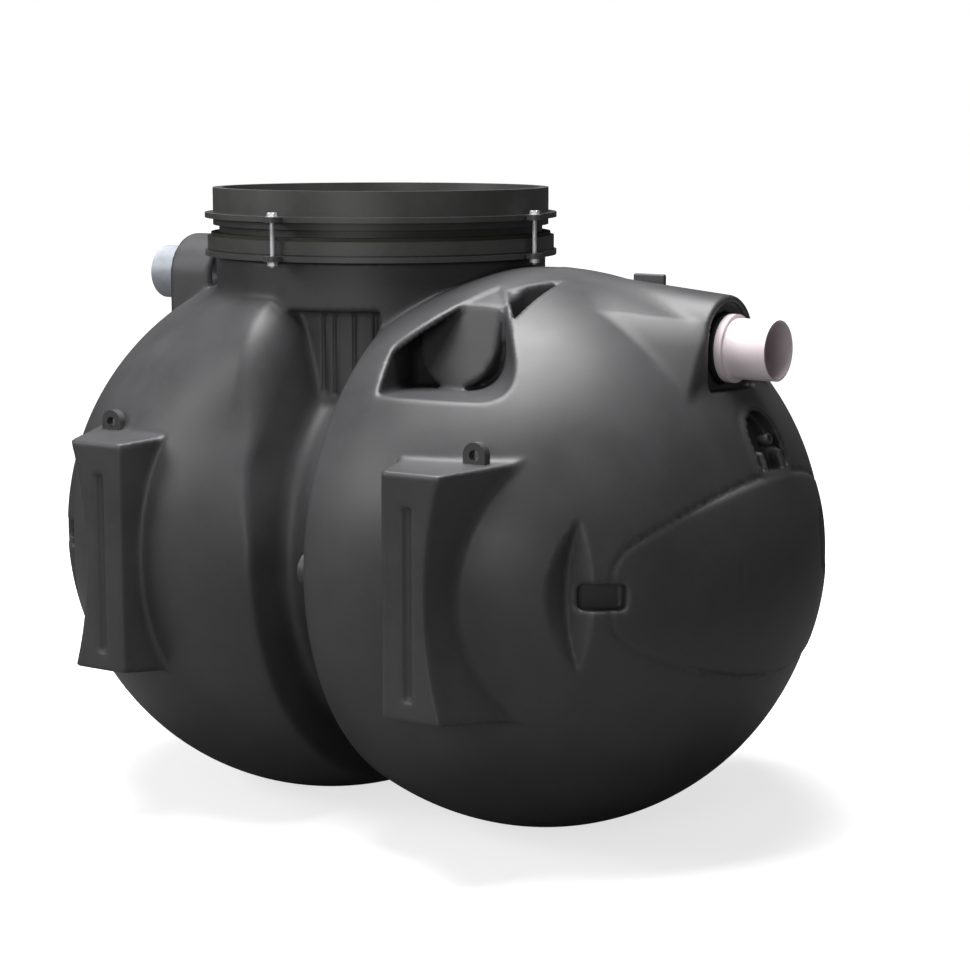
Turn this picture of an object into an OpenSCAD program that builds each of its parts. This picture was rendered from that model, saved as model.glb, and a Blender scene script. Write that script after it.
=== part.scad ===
// Twin-lobe moulded septic tank: two rounded chambers side by side along X, a clamped
// manway collar on a bridging neck, and a pipe housing at each end.
// Origin: middle of the tank at floor level. +X to the outlet, -Y to the front, +Z up.

/* [Chambers] */
// Largest radius of a chamber, square to X
lobe_r = 535; // [480:5:600]
// Distance of a chamber's largest section from the middle of the tank
lobe_mid_x = 260; // [220:5:320]
// How much smaller than the chamber the arc that rounds its outer end is
crown_off = 15; // [5:1:30]
// Half the width of the groove between the chambers
groove_half = 58; // [45:1:80]
// Radius of the arc that draws a chamber in towards the groove
shoulder_r = 556; // [540:2:800]
// Depth of the flat foot moulded under each chamber
foot_depth = 10; // [6:1:20]
// Wall thickness of the moulded shells
wall = 8; // [6:0.5:12]
// Depth of the groove, from a chamber's largest radius down to the waist that joins both
waist_drop = 135; // [110:5:180]

/* [Manway] */
// Place of the manway's axis along X
manway_x = -130; // [-150:5:-100]
// Radius of the open manway through the neck
manway_r = 290; // [250:5:340]
// Thickness of the round neck that bridges both chambers
neck_t = 34; // [26:1:40]
// Depth of the neck's underside over the groove, below the chambers' top
neck_low_drop = 78; // [70:1:90]
// Rise of the neck's top above the chambers' top, where the lower flange sits
neck_rise = 14; // [8:1:30]
// Radius of the rounded shoulder under the neck on the inlet chamber
shoulder_round_r = 200; // [160:5:240]
// How far the shoulder's flank stays inside the chamber's largest radius
shoulder_inset = 50; // [42:1:60]
// How much larger than the chamber the ball that trims that shoulder is
shoulder_crown_out = 65; // [55:1:78]
// Depth of that ball's centre below the chambers' axis
shoulder_drop = 20; // [15:1:25]
// Width of the lower flange, from the open manway outwards
flange_w = 51; // [44:1:60]
// Height of the lower flange band with its lip
flange_h = 38; // [30:1:50]
// Depth and height of the groove between the flange band and its lip
flange_groove = 3; // [2:0.5:5]
// Thickness of the gasket between the flange and the collar
gasket_t = 7; // [5:1:12]
// How far the gasket stays inside the flange's inner and outer edges
gasket_inset = 7; // [4:1:10]
// Width of the collar's wall
collar_w = 40; // [32:1:46]
// Width of the ledge inside the collar that a cover rests on
ledge_w = 22; // [14:1:28]
// Height of the collar above the gasket
collar_h = 86; // [70:2:120]
// Height of the undercut at the collar's foot
undercut_h = 14; // [10:1:20]
// Depth of the undercut
undercut_d = 12; // [6:1:16]
// How far the lips stand out past the flange band
lip_out = 5; // [3:1:10]
// Thickness of each lip
lip_t = 10; // [8:1:14]
// Height of the collar lip's underside above the collar's foot
lip_rise = 28; // [20:1:40]

/* [Tie rods] */
// Number of tie rods round the collar
rod_count = 4; // [3:1:8]
// Angle of the first rod from +X
rod_angle = 2; // [0:1:10]
// Rod diameter
rod_d = 8; // [6:1:12]
// Play of a rod in its ear
rod_play = 1; // [0.6:0.1:2]
// Distance of the rods' middle line outside the lips
rod_gap = 8; // [6:1:14]
// Length of a rod below the lower flange
rod_tail = 11; // [10:1:30]
// Radius of the ears that carry the rods
ear_r = 16; // [13:1:20]
// Nut size across the corners
nut_d = 19; // [14:1:24]
// Height of a nut or bolt head
nut_h = 8; // [5:1:10]

/* [Pipes] */
// Outer diameter of both pipes
pipe_d = 110; // [100:5:125]
// Wall thickness of both pipes
pipe_wall = 3.2; // [2.5:0.1:5]
// Depth of the outlet pipe's axis below the chambers' top
outlet_drop = 133; // [120:1:150]
// Depth of the inlet pipe's axis below the chambers' top
inlet_drop = 40; // [30:1:50]
// How far the outlet housing's end face stands out of the chamber, at the pipe's axis
outlet_stand = 48; // [40:1:58]
// How far the inlet housing's end face stands out of the chamber, at the pipe's axis
inlet_stand = 155; // [140:1:175]
// Free length of the outlet pipe past its housing
outlet_free = 98; // [80:1:120]
// Free length of the inlet pipe past its housing
inlet_free = 75; // [60:1:100]
// Gap between the outlet pipe and its housing's arch, with the wall
outlet_arch_gap = 40; // [30:1:46]
// Gap between the inlet pipe and its housing's arch, with the wall
inlet_arch_gap = 27; // [23:1:34]
// Distance from the chamber's middle at which the outlet housing meets its top
outlet_root = 50; // [30:5:80]
// Slope of the outlet housing's arch, in degrees
outlet_slope = 5.5; // [4:0.5:7]
// Length of the outlet pipe inside its housing
outlet_tail = 150; // [120:5:200]
// Length of the inlet pipe inside its housing
inlet_tail = 88; // [60:2:110]
// Radial height of the ring on each pipe, at the housing's end face
pipe_ring_t = 7; // [5:1:9]
// Length of that ring
pipe_ring_l = 14; // [8:1:24]
// Radial thickness of the rubber pipe seals
seal_t = 8; // [6:1:10]
// Length of the pipe seals
seal_l = 22; // [16:1:30]

/* [Pads] */
// Distance of a pad's inner edge from the chamber's middle section
pad_shift = 47; // [30:1:60]
// Width of a pad's flat face
pad_w = 100; // [80:1:120]
// How far a pad's flat face stands out past the chamber
pad_out = 47; // [35:1:65]
// Depth of a pad's lower end below the chambers' axis
pad_drop = 214; // [190:1:240]
// Height of a pad
pad_h = 432; // [380:1:480]
// Depth of a pad's block behind its face
pad_depth = 261; // [230:1:300]
// How far a pad's outer flank spreads over that depth
pad_flare_out = 150; // [120:1:180]
// How far a pad's inner flank spreads over that depth
pad_flare_in = 86; // [60:1:100]
// Width of the upright groove in a pad's face
pad_groove_w = 28; // [18:1:36]
// Depth of that groove
pad_groove_d = 9; // [5:1:14]
// Length of that groove
pad_groove_l = 335; // [280:5:360]
// Width of the lifting lug above each pad
lug_w = 46; // [38:1:56]
// Thickness of the lifting lug
lug_t = 16; // [12:1:22]
// Hole diameter in the lifting lug
lug_hole_d = 20; // [14:1:24]
// How far a lug's outer face stands out of the chamber
lug_stand = 13.2; // [10:0.1:16]
// Distance of a lug's middle outside the pad's flat face, along X
lug_shift = 13; // [0:1:14]

/* [Chamber details] */
// How far the bulge on each chamber's outer end stands out of it
bulge_out = 22; // [15:1:35]
// Half height of that bulge
bulge_half_h = 180; // [160:2:205]
// How far the bulge's round ends stay inside the chamber's largest radius
bulge_inset = 163; // [150:1:190]
// How much larger than the chamber's end arc the bulge's domed face is
bulge_face_out = 40; // [25:1:70]
// Radius of the arcs along the bulge's top and bottom
bulge_edge_r = 665; // [600:5:760]
// Inner side of the side pocket, as a distance from the chamber's middle section
pocket_in = 118; // [100:2:130]
// Width of the side pocket
pocket_w = 260; // [230:5:290]
// Depth of the side pocket's floor below the chambers' top
pocket_drop = 198; // [180:2:220]
// Distance of the pocket's back wall from the middle plane
pocket_y = 190; // [175:5:210]
// Radius of the port pad in the pocket
port_r = 86; // [70:1:95]
// Gap between the port pad and the pocket's inner side
port_gap = 1; // [1:0.5:10]
// How far the port pad stands out from the pocket's back wall
port_out = 60; // [40:2:80]
// Length of a strap slot in a chamber's flank
slot_l = 80; // [60:2:100]
// Height of a strap slot
slot_h = 46; // [34:2:60]
// Depth of a strap slot
slot_d = 34; // [24:2:44]
// Direction of a strap slot round the chamber's end arc, in degrees from its middle section
slot_angle = 45; // [40:1:50]
// Diameter of the stops in the groove
stop_d = 66; // [40:2:80]
// Length of the stops in the groove
stop_l = 22; // [12:1:40]

/* [Hidden] */
$fn = 96;

black = "#3a3b3d";
seat = 0.3;                          // clearance where a piece sits on a curved shell
past = 1;                            // how far a cut runs past the face that it opens
lobe_z = lobe_r - foot_depth;        // height of the chambers' common axis
top_z = lobe_z + lobe_r;             // height of the chambers' top
crown_r = lobe_r - crown_off;        // arc of a chamber's outer end
waist_r = lobe_r - waist_drop;
big = 4 * lobe_r;                    // larger than the tank, for trimming blocks
neck_r = manway_r + neck_t;
neck_low_z = top_z - neck_low_drop;
flange_z = top_z + neck_rise;
flange_r = manway_r + flange_w;
lip_r = flange_r + lip_out;
rod_pitch_r = lip_r + rod_gap;
gasket_z = flange_z + flange_h;
collar_z = gasket_z + gasket_t;
collar_r = manway_r + collar_w;
collar_bore_r = manway_r + ledge_w;
ear_z = collar_z + lip_rise;
pipe_r = pipe_d / 2;
outlet_z = top_z - outlet_drop;      // axes of the pipes
inlet_z = top_z - inlet_drop;
outlet_face_x = crown_x(outlet_z) + outlet_stand;
inlet_face_x = crown_x(inlet_z) + inlet_stand;
outlet_arch_r = pipe_r + outlet_arch_gap;
inlet_arch_r = pipe_r + inlet_arch_gap;
skirt_h = 2 * outlet_arch_r;         // drop of a housing's skirt, well into the chamber
pad_in_x = lobe_mid_x + pad_shift;
pad_y = lobe_r + pad_out;
pad_low_z = lobe_z - pad_drop;
pad_top_z = pad_low_z + pad_h;
lug_x = pad_in_x + pad_w + lug_shift;
bulge_face_r = crown_r + bulge_face_out;
bulge_half_w = lobe_r - bulge_inset;
bulge_mid_x = lobe_mid_x + crown_r + bulge_out - bulge_face_r;
pocket_x = lobe_mid_x - pocket_in;
pocket_z = top_z - pocket_drop;
rim_r = lobe_r - shoulder_r
    + sqrt(shoulder_r ^ 2 - (lobe_mid_x - groove_half) ^ 2);   // chamber's edge at the groove
round_fn = 360;                      // facets of the large round surfaces
ring_fn = 180;                       // facets of the manway's rings

// Reach of a chamber's end arc along X, in the middle plane at height z
function crown_x(z) = lobe_mid_x + sqrt(crown_r ^ 2 - (z - lobe_z - crown_off) ^ 2);

// Distance of a chamber's skin from the middle plane, past its middle section
function skin_y(x, z) =
    sqrt((crown_off + sqrt(crown_r ^ 2 - (x - lobe_mid_x) ^ 2)) ^ 2 - (z - lobe_z) ^ 2);

// ---- chambers ----

// Half outline of one chamber: radius along X, distance from the middle along Y
module lobe_outline(grow) {
    intersection() {
        translate([crown_off, lobe_mid_x]) circle(crown_r + grow, $fn = round_fn);
        translate([0, lobe_mid_x]) square([big, big]);
    }
    translate([0, lobe_mid_x]) square([crown_off, crown_r + grow]);
    intersection() {
        translate([lobe_r - shoulder_r, lobe_mid_x]) circle(shoulder_r + grow, $fn = round_fn);
        translate([0, groove_half - grow])
            square([big, lobe_mid_x - groove_half + grow]);
    }
}

// One chamber as a solid of revolution on the X axis, cut flat underneath
module lobe_solid(grow = 0) {
    intersection() {
        translate([0, 0, lobe_z]) rotate([0, 90, 0]) rotate_extrude($fn = round_fn)
            lobe_outline(grow);
        translate([0, -big / 2, -grow]) cube(big);
    }
}

// The open manway, through the neck and both chambers' tops
module manway_shaft() {
    translate([manway_x, 0, lobe_z]) cylinder(r = manway_r, h = big / 2, $fn = ring_fn);
}

// Mirrors its children to the inlet side when side is -1
module on_side(side) {
    if (side < 0) mirror([1, 0, 0]) children();
    else children();
}

// Mirrors its children to the rear when face is 1
module on_face(face) {
    if (face > 0) mirror([0, 1, 0]) children();
    else children();
}

// The pocket beside the neck, open upwards and to the front, grown by its lining
module pocket_block(grow) {
    translate([pocket_x - grow, -big, pocket_z - grow])
        cube([pocket_w + 2 * grow, big - pocket_y + grow, big]);
}

// A recess in the chamber's flank that a lifting strap passes behind
module slot_block(grow) {
    translate([lobe_mid_x + crown_r * sin(slot_angle), -crown_off - crown_r * cos(slot_angle), lobe_z])
        rotate([0, 0, slot_angle])
            translate([-slot_l / 2 - grow, -slot_d, -slot_h / 2 - grow])
                cube([slot_l + 2 * grow, 2 * slot_d + grow, slot_h + 2 * grow]);
}

// A chamber's whole shell, with the linings of its recesses
module lobe_skin(side) {
    difference() {
        lobe_solid();
        difference() {
            lobe_solid(-wall);
            if (side > 0) for (face = [-1, 1]) on_face(face) pocket_block(wall);
            for (face = [-1, 1]) on_face(face) slot_block(wall);
        }
        if (side > 0) for (face = [-1, 1]) on_face(face) pocket_block(0);
        for (face = [-1, 1]) on_face(face) slot_block(0);
    }
}

module chamber_shell(side) {
    color(black) difference() {
        on_side(side) difference() {
            intersection() {
                lobe_skin(side);
                translate([0, -big / 2, -big / 2]) cube([lobe_mid_x, big, big]);
            }
            translate([0, 0, lobe_z]) rotate([0, 90, 0])
                cylinder(r = waist_r - wall, h = groove_half + 2 * wall);
        }
        manway_shaft();
    }
}

module end_dome(side) {
    color(black) difference() {
        on_side(side) difference() {
            intersection() {
                lobe_skin(side);
                translate([lobe_mid_x, -big / 2, -big / 2]) cube(big);
            }
            if (side > 0) {
                outlet_arch(outlet_arch_r - wall, wall);
                translate([outlet_face_x - wall, 0, 0]) pipe_hole(outlet_z, pipe_r + seal_t);
            }
            else inlet_arch(inlet_arch_r - wall, wall);
        }
        manway_shaft();
    }
}

module waist_band() {
    color(black) difference() {
        translate([-groove_half, 0, lobe_z]) rotate([0, 90, 0])
            difference() {
                cylinder(r = waist_r, h = 2 * groove_half);
                translate([0, 0, -past]) cylinder(r = waist_r - wall, h = 2 * (groove_half + past));
            }
        manway_shaft();
    }
}

// Stop on the outlet chamber's inner wall, inside the groove
module groove_stop(face) {
    stop_y = (waist_r + rim_r) / 2;
    color(black) translate([groove_half - stop_l, face * stop_y, lobe_z])
        rotate([0, 90, 0]) cylinder(d = stop_d, h = stop_l);
}

// ---- neck and manway ----

// Round neck that stands on both chambers and bridges the groove, with a thin throat below
module manway_neck() {
    color(black) difference() {
        translate([manway_x, 0, lobe_z]) cylinder(r = neck_r, h = flange_z - lobe_z, $fn = ring_fn);
        difference() {
            translate([-groove_half, -big / 2, 0]) cube([2 * groove_half, big, neck_low_z]);
            translate([manway_x, 0, 0]) cylinder(r = manway_r + wall, h = big, $fn = ring_fn);
        }
        translate([-groove_half, 0, lobe_z]) rotate([0, 90, 0])
            cylinder(r = waist_r + seat, h = 2 * groove_half, $fn = ring_fn);
        manway_shaft();
        for (side = [-1, 1]) on_side(side) lobe_solid(seat);
        shoulder_solid(seat);
    }
}

// Rounded shoulder that lifts the inlet chamber's top to the neck
module shoulder_solid(grow = 0) {
    top = neck_low_z - lobe_z + grow;
    corner = shoulder_round_r + grow;
    core_y = lobe_r - shoulder_inset - shoulder_round_r;
    core_z = neck_low_z - lobe_z - shoulder_round_r;
    intersection() {
        translate([-lobe_mid_x - crown_r, 0, lobe_z]) rotate([90, 0, 90])
            linear_extrude(lobe_mid_x + crown_r - groove_half + grow) {
                for (y = [-core_y, core_y])
                    translate([y, core_z]) circle(corner, $fn = ring_fn);
                translate([-core_y, 0]) square([2 * core_y, top]);
                translate([-core_y - corner, 0]) square([2 * (core_y + corner), core_z]);
            }
        translate([-groove_half, 0, lobe_z - shoulder_drop])
            sphere(r = lobe_r + shoulder_crown_out + grow, $fn = round_fn);
    }
}

module inlet_shoulder() {
    color(black) difference() {
        shoulder_solid();
        on_side(-1) lobe_solid(seat);
        manway_shaft();
    }
}

// A ring on the manway's axis, from its half section
module manway_ring() {
    translate([manway_x, 0, 0]) rotate_extrude($fn = ring_fn) children();
}

// Ears that the tie rods pass through, bored for the rods
module rod_ears(z, t) {
    root = rod_pitch_r - collar_bore_r - wall;
    at_rods() translate([0, 0, z]) linear_extrude(t) difference() {
        union() {
            circle(ear_r, $fn = 48);
            translate([-root, -ear_r]) square([root, 2 * ear_r]);
        }
        circle(d = rod_d + rod_play, $fn = 48);
    }
}

// Places its children at each tie rod, with +X outwards
module at_rods() {
    for (i = [0 : rod_count - 1])
        translate([manway_x, 0, 0]) rotate([0, 0, rod_angle + i * 360 / rod_count])
            translate([rod_pitch_r, 0, 0]) children();
}

module lower_flange() {
    color(black) union() {
        manway_ring() difference() {
            union() {
                translate([manway_r, flange_z]) square([flange_r - manway_r, flange_h]);
                translate([manway_r, flange_z]) square([lip_r - manway_r, lip_t]);
            }
            translate([flange_r - flange_groove, flange_z + lip_t]) square([lip_r, flange_groove]);
        }
        rod_ears(flange_z, lip_t);
    }
}

module flange_gasket() {
    color("#4a4a3c") manway_ring()
        translate([manway_r + gasket_inset, gasket_z])
            square([flange_w - 2 * gasket_inset, gasket_t]);
}

module manway_collar() {
    color(black) union() {
        manway_ring() difference() {
            union() {
                translate([manway_r, collar_z])
                    square([collar_r - undercut_d - manway_r, undercut_h]);
                translate([manway_r, collar_z + undercut_h])
                    square([collar_r - manway_r, collar_h - undercut_h]);
                translate([manway_r, ear_z]) square([lip_r - manway_r, lip_t]);
            }
            translate([0, collar_z + undercut_h + lip_t])
                square([collar_bore_r, collar_h]);
        }
        rod_ears(ear_z, lip_t);
    }
}

module tie_rod_bolts() {
    color("#c9ccd0") at_rods() {
        translate([0, 0, flange_z - rod_tail])
            cylinder(d = rod_d, h = ear_z + lip_t - flange_z + rod_tail, $fn = 32);
        translate([0, 0, ear_z + lip_t]) cylinder(d = nut_d, h = nut_h, $fn = 6);
    }
}

module tie_rod_nuts() {
    color("#b9bcc0") at_rods() translate([0, 0, flange_z - nut_h]) difference() {
        cylinder(d = nut_d, h = nut_h, $fn = 6);
        translate([0, 0, -past]) cylinder(d = rod_d, h = nut_h + 2 * past, $fn = 32);
    }
}

// ---- pipe housings ----

// Section of a pipe housing: a half round above a square skirt, along +Z
module arch_section(r) {
    circle(r);
    translate([0, -r]) square([skirt_h, 2 * r]);
}

// Sloping arch over the outlet pipe, from inside the chamber to the end face
module outlet_arch(r, back) {
    root = lobe_mid_x + outlet_root + back;
    intersection() {
        translate([outlet_face_x, 0, outlet_z]) rotate([0, 90 + outlet_slope, 0])
            translate([0, 0, -big / 2]) linear_extrude(big) arch_section(r);
        translate([root, -2 * r, 0]) cube([outlet_face_x - root - back, 4 * r, big]);
    }
}

// Level arch over the inlet pipe, drawn on the +X side and mirrored
module inlet_arch(r, back) {
    root = lip_r - manway_x + seat + back;
    translate([root, 0, inlet_z]) rotate([0, 90, 0])
        linear_extrude(inlet_face_x - root - back) arch_section(r);
}

module pipe_hole(z, r) {
    translate([0, 0, z]) rotate([0, 90, 0]) cylinder(r = r, h = big);
}

module outlet_pipe_housing() {
    color(black) difference() {
        outlet_arch(outlet_arch_r, 0);
        outlet_arch(outlet_arch_r - wall, wall);
        pipe_hole(outlet_z, pipe_r + seal_t);
        lobe_solid(seat);
    }
}

// Notched at its root, where a tie rod passes
module inlet_pipe_housing() {
    color(black) difference() {
        mirror([1, 0, 0]) difference() {
            inlet_arch(inlet_arch_r, 0);
            inlet_arch(inlet_arch_r - wall, wall);
            pipe_hole(inlet_z, pipe_r + seal_t);
            lobe_solid(seat);
        }
        at_rods() translate([0, 0, flange_z - 2 * nut_h]) cylinder(r = ear_r + rod_play, h = lobe_r);
    }
}

// A stub pipe with a ring that stops it on the housing's end face
module pipe_run(face_x, free, tail, z) {
    translate([face_x - tail, 0, z]) rotate([0, 90, 0]) difference() {
        union() {
            cylinder(r = pipe_r, h = tail + free);
            translate([0, 0, tail]) cylinder(r = pipe_r + pipe_ring_t, h = pipe_ring_l);
        }
        translate([0, 0, -past]) cylinder(r = pipe_r - pipe_wall, h = tail + free + 2 * past);
    }
}

module outlet_pipe() {
    color("#cfc3c3") pipe_run(outlet_face_x, outlet_free, outlet_tail, outlet_z);
}

module inlet_pipe() {
    color("#b8bcc2") mirror([1, 0, 0])
        pipe_run(inlet_face_x, inlet_free, inlet_tail, inlet_z);
}

// Rubber ring in the housing's end wall, around the pipe
module pipe_seal(face_x, z) {
    color("#2b2b2b") translate([face_x - seal_l, 0, z]) rotate([0, 90, 0]) difference() {
        cylinder(r = pipe_r + seal_t, h = seal_l);
        translate([0, 0, -past]) cylinder(r = pipe_r, h = seal_l + 2 * past);
    }
}

// ---- pads and lugs ----

module pad(side, face) {
    color(black) on_side(side) on_face(face) difference() {
        translate([0, 0, pad_low_z]) linear_extrude(pad_h) polygon([
            [pad_in_x, -pad_y], [pad_in_x + pad_w, -pad_y],
            [pad_in_x + pad_w + pad_flare_out, -pad_y + pad_depth],
            [pad_in_x - pad_flare_in, -pad_y + pad_depth]]);
        translate([pad_in_x + (pad_w - pad_groove_w) / 2, -pad_y - past,
                   pad_low_z + (pad_h - pad_groove_l) / 2])
            cube([pad_groove_w, pad_groove_d + past, pad_groove_l]);
        lobe_solid(seat);
    }
}

module lug(side, face) {
    color(black) on_side(side) on_face(face) difference() {
        translate([lug_x, -skin_y(lug_x, pad_top_z) - lug_stand + lug_t, pad_top_z])
            rotate([90, 0, 0]) difference() {
                union() {
                    translate([-lug_w / 2, 0, 0]) cube([lug_w, lug_w / 2, lug_t]);
                    translate([0, lug_w / 2, 0]) cylinder(d = lug_w, h = lug_t);
                }
                translate([0, lug_w / 2, -past]) cylinder(d = lug_hole_d, h = lug_t + 2 * past);
            }
        lobe_solid(seat);
    }
}

// ---- chamber ends and ports ----

// A bulge has round ends between two long flat arcs, and a domed face
module end_bulge(side) {
    color(black) on_side(side) difference() {
        intersection() {
            translate([lobe_mid_x, 0, lobe_z]) rotate([0, 90, 0])
                cylinder(r = bulge_half_w, h = big, $fn = round_fn);
            translate([lobe_mid_x, 0, lobe_z + bulge_half_h - bulge_edge_r]) rotate([0, 90, 0])
                cylinder(r = bulge_edge_r, h = big, $fn = round_fn);
            translate([lobe_mid_x, 0, lobe_z - bulge_half_h + bulge_edge_r]) rotate([0, 90, 0])
                cylinder(r = bulge_edge_r, h = big, $fn = round_fn);
            translate([bulge_mid_x, 0, lobe_z])
                sphere(bulge_face_r, $fn = round_fn);
        }
        lobe_solid(seat);
        for (face = [-1, 1]) on_face(face) slot_block(0);
    }
}

module port_pad(face) {
    color(black) on_face(face)
        translate([pocket_x + port_gap + port_r, -pocket_y, pocket_z + port_r]) rotate([90, 0, 0])
            linear_extrude(port_out) {
                circle(port_r);
                translate([-port_r, 0]) square([2 * port_r, port_r - wall]);
            }
}

chamber_shell(-1);  // inlet_chamber_shell
end_dome(-1);  // inlet_end_dome
chamber_shell(1);  // outlet_chamber_shell
end_dome(1);  // outlet_end_dome
waist_band();
inlet_shoulder();
manway_neck();
lower_flange();
flange_gasket();
manway_collar();
tie_rod_bolts();
tie_rod_nuts();
inlet_pipe_housing();
outlet_pipe_housing();
inlet_pipe();
outlet_pipe();
on_side(-1) pipe_seal(inlet_face_x, inlet_z);  // inlet_pipe_seal
pipe_seal(outlet_face_x, outlet_z);  // outlet_pipe_seal
pad(-1, -1);  // inlet_front_pad
pad(-1, 1);  // inlet_rear_pad
pad(1, -1);  // outlet_front_pad
pad(1, 1);  // outlet_rear_pad
lug(-1, -1);  // inlet_front_lug
lug(-1, 1);  // inlet_rear_lug
lug(1, -1);  // outlet_front_lug
lug(1, 1);  // outlet_rear_lug
end_bulge(-1);  // inlet_end_bulge
end_bulge(1);  // outlet_end_bulge
port_pad(-1);  // outlet_front_port_pad
port_pad(1);  // outlet_rear_port_pad
groove_stop(-1);  // front_groove_stop
groove_stop(1);  // rear_groove_stop
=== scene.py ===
import math
import time

import bmesh
import bpy
import numpy as np
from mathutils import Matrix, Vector


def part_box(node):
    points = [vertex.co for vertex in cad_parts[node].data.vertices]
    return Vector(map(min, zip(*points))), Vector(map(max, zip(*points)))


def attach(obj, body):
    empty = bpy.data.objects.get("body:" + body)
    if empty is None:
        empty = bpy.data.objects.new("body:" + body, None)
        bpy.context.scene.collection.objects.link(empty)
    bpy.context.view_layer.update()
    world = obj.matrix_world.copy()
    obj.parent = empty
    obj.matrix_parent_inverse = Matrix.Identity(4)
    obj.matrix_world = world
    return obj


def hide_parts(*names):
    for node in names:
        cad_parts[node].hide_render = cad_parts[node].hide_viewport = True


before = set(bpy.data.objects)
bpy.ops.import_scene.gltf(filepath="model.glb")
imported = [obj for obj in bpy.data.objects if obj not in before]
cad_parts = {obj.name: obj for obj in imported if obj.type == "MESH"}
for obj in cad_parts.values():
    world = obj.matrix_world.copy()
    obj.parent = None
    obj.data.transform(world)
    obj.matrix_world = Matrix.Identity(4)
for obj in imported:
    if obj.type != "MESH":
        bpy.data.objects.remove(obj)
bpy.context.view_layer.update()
startTime = time.time()


def report(stage):
    print(f"[tank] {stage} at {time.time() - startTime:.1f} s")


cameraSettings = {
    "place": (2.7891, -3.8933, 1.3356),
    "look": (-0.55949, 0.81559, -0.14763),
    "lens": 91.0,
}


def makeCamera(settings):
    data = bpy.data.cameras.new("studioCamera")
    data.lens = settings["lens"]
    data.sensor_width = 36.0
    data.sensor_fit = "HORIZONTAL"
    data.clip_end = 60.0
    camera = bpy.data.objects.new("studioCamera", data)
    bpy.context.scene.collection.objects.link(camera)
    camera.location = settings["place"]
    camera.rotation_euler = Vector(settings["look"]).to_track_quat("-Z", "Y").to_euler()
    bpy.context.scene.camera = camera


makeCamera(cameraSettings)


def addNode(tree, kind, inputs=None, **settings):
    node = tree.nodes.new(kind)
    for key, value in settings.items():
        setattr(node, key, value)
    for key, value in (inputs or {}).items():
        node.inputs[key].default_value = value
    return node


def makeGrainGroup():
    # mottled colour, uneven roughness and the fine skin of a moulding
    group = bpy.data.node_groups.new("mouldedSkin", "ShaderNodeTree")
    face = group.interface
    for name, value in (("Mottle Scale", 6.0), ("Grain Scale", 900.0), ("Grain Depth", 0.25)):
        face.new_socket(name, in_out="INPUT", socket_type="NodeSocketFloat").default_value = value
    for name in ("Tone Dark", "Tone Light"):
        face.new_socket(name, in_out="INPUT", socket_type="NodeSocketColor")
    face.new_socket("Rough Low", in_out="INPUT", socket_type="NodeSocketFloat").default_value = 0.4
    face.new_socket("Rough High", in_out="INPUT", socket_type="NodeSocketFloat").default_value = 0.6
    face.new_socket("Color", in_out="OUTPUT", socket_type="NodeSocketColor")
    face.new_socket("Roughness", in_out="OUTPUT", socket_type="NodeSocketFloat")
    face.new_socket("Normal", in_out="OUTPUT", socket_type="NodeSocketVector")
    link = group.links.new
    given = addNode(group, "NodeGroupInput")
    out = addNode(group, "NodeGroupOutput")
    coords = addNode(group, "ShaderNodeTexCoord")
    broad = addNode(group, "ShaderNodeTexNoise", {"Detail": 5.0, "Roughness": 0.62})
    fine = addNode(group, "ShaderNodeTexNoise", {"Detail": 3.0, "Roughness": 0.55})
    specks = addNode(group, "ShaderNodeTexNoise", {"Scale": 160.0, "Detail": 2.0})
    for node in (broad, fine, specks):
        link(coords.outputs["Object"], node.inputs["Vector"])
    link(given.outputs["Mottle Scale"], broad.inputs["Scale"])
    link(given.outputs["Grain Scale"], fine.inputs["Scale"])
    blend = addNode(group, "ShaderNodeMath", {1: 0.25}, operation="MULTIPLY_ADD")
    link(specks.outputs["Fac"], blend.inputs[0])
    link(broad.outputs["Fac"], blend.inputs[2])
    spread = addNode(group, "ShaderNodeMapRange", {"From Min": 0.4, "From Max": 0.85})
    link(blend.outputs[0], spread.inputs["Value"])
    tone = addNode(group, "ShaderNodeMix", data_type="RGBA")
    link(spread.outputs["Result"], tone.inputs["Factor"])
    link(given.outputs["Tone Dark"], tone.inputs["A"])
    link(given.outputs["Tone Light"], tone.inputs["B"])
    link(tone.outputs["Result"], out.inputs["Color"])
    rough = addNode(group, "ShaderNodeMix", data_type="FLOAT")
    link(spread.outputs["Result"], rough.inputs["Factor"])
    link(given.outputs["Rough Low"], rough.inputs["A"])
    link(given.outputs["Rough High"], rough.inputs["B"])
    link(rough.outputs["Result"], out.inputs["Roughness"])
    bump = addNode(group, "ShaderNodeBump", {"Distance": 0.0006})
    link(given.outputs["Grain Depth"], bump.inputs["Strength"])
    link(fine.outputs["Fac"], bump.inputs["Height"])
    link(bump.outputs["Normal"], out.inputs["Normal"])
    return group


skinGroup = makeGrainGroup()


def makeMaterial(name, dark, light, roughLow, roughHigh, grainScale=900.0, grainDepth=0.25,
                 mottle=6.0, metallic=0.0):
    material = bpy.data.materials.new(name)
    material.use_nodes = True
    tree = material.node_tree
    shader = tree.nodes["Principled BSDF"]
    shader.inputs["Metallic"].default_value = metallic
    skin = addNode(tree, "ShaderNodeGroup", node_tree=skinGroup)
    skin.inputs["Mottle Scale"].default_value = mottle
    skin.inputs["Grain Scale"].default_value = grainScale
    skin.inputs["Grain Depth"].default_value = grainDepth
    skin.inputs["Tone Dark"].default_value = (*dark, 1.0)
    skin.inputs["Tone Light"].default_value = (*light, 1.0)
    skin.inputs["Rough Low"].default_value = roughLow
    skin.inputs["Rough High"].default_value = roughHigh
    tree.links.new(skin.outputs["Color"], shader.inputs["Base Color"])
    tree.links.new(skin.outputs["Roughness"], shader.inputs["Roughness"])
    tree.links.new(skin.outputs["Normal"], shader.inputs["Normal"])
    return material


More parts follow.
